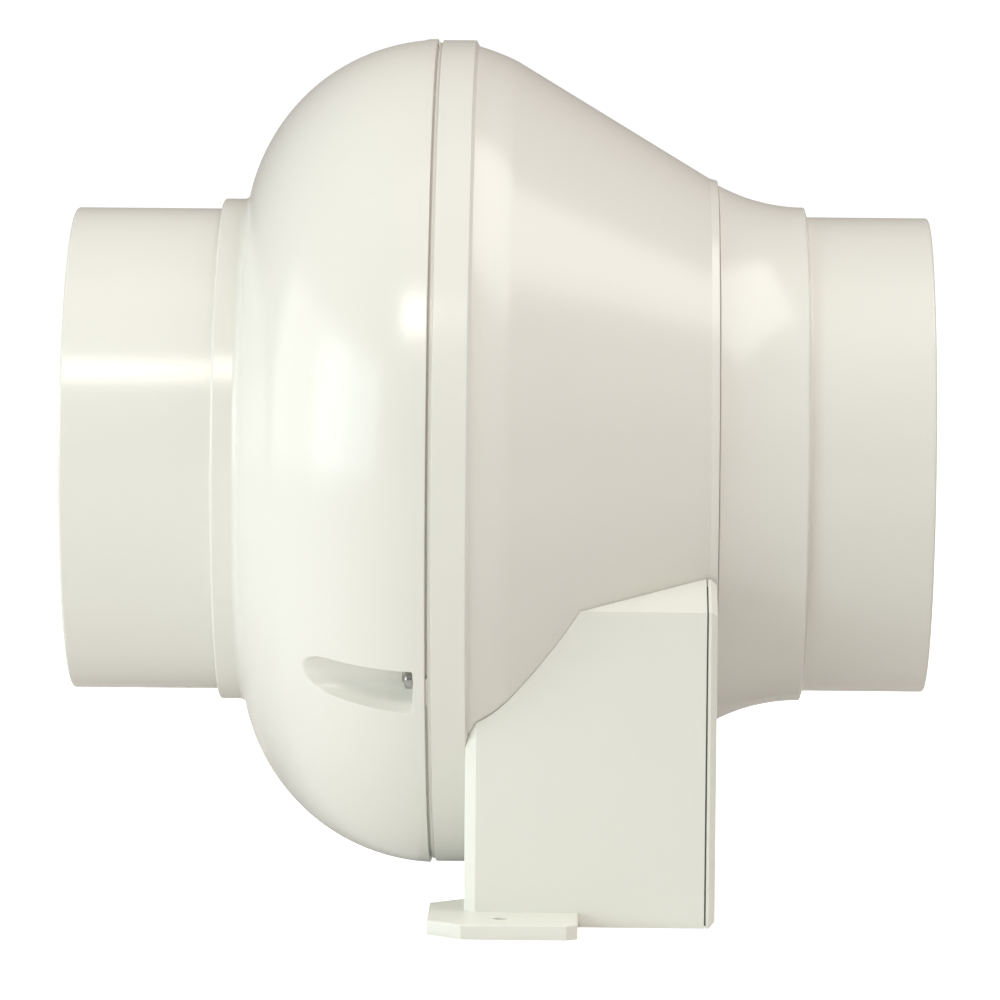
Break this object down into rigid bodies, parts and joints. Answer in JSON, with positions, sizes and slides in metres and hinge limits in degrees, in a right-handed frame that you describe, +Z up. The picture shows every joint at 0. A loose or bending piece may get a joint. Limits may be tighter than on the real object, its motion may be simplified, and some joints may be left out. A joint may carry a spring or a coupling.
{
  "type": "in-line duct fan",
  "caption": "White plastic in-line extractor fan for 150 mm round duct, with a spinning impeller, a screw-down pedestal and a removable terminal cover.",
  "frame": {"origin": "midway along the fan, on its centre plane, at the height of the feet", "axes": "+X along the duct axis towards the outlet, +Z up from the feet"},
  "size_m": [0.2632, 0.259, 0.2625],
  "materials": {
    "casing_plastic": "smooth warm-white moulding, semi-gloss",
    "base_plastic": "smooth warm-white moulding, slightly duller",
    "carrier_plastic": "satin moulding",
    "impeller_plastic": "satin glass-filled moulding",
    "seal_rubber": "matt",
    "screw_steel": "bright zinc plate",
    "can_steel": "satin grey",
    "cast_aluminium": "fine cast",
    "bearing_steel": "ground",
    "core_steel": "stacked laminations",
    "winding_copper": "enamelled wire",
    "lead_sheath": "smooth sheath",
    "terminal_plastic": "satin",
    "terminal_brass": "satin",
    "capacitor_plastic": "satin",
    "clip_nylon": "satin",
    "label_film": "blank satin film"
  },
  "bodies": {
    "housing": {"inlet_spigot": "casing_plastic", "inlet_casing": "casing_plastic", "inlet_bellmouth": "casing_plastic", "casing_seal": "seal_rubber", "outlet_casing": "casing_plastic", "outlet_adaptor": "casing_plastic", "casing_screws": "screw_steel", "motor_carrier": "carrier_plastic", "carrier_screws": "screw_steel", "tail_cone": "carrier_plastic", "motor_can": "can_steel", "end_bell": "cast_aluminium", "end_bell_screws": "screw_steel", "motor_screws": "screw_steel", "motor_bearings": "bearing_steel", "stator_core": "core_steel", "stator_windings": "winding_copper", "motor_lead": "lead_sheath", "mounting_base": "base_plastic", "base_screws": "screw_steel", "terminal_block": "terminal_plastic", "terminal_screws": "terminal_brass", "run_capacitor": "capacitor_plastic", "capacitor_clip": "clip_nylon", "clip_screw": "screw_steel", "cord_clamp": "clip_nylon", "cord_clamp_screws": "screw_steel", "cable_grommet": "seal_rubber", "lead_grommet": "seal_rubber", "rating_label": "label_film"},
    "rotor": {"impeller": "impeller_plastic", "impeller_shroud": "impeller_plastic", "impeller_nut": "screw_steel", "nose_cap": "impeller_plastic", "rotor_shaft": "bearing_steel", "rotor_core": "core_steel", "shaft_spacer": "bearing_steel", "shaft_circlip": "bearing_steel"},
    "cover": {"terminal_cover": "base_plastic", "cover_seal": "seal_rubber", "cover_screws": "screw_steel"}
  },
  "joints": [
    {"name": "impeller_spin", "type": "hinge", "parent": "housing", "child": "rotor", "pos_m": [0, 0, 0.135], "axis": [1, 0, 0], "continuous": true},
    {"name": "cover_slide", "type": "slide", "parent": "housing", "child": "cover", "axis": [1, 0, 0], "range_m": [0, 0.06]}
  ]
}
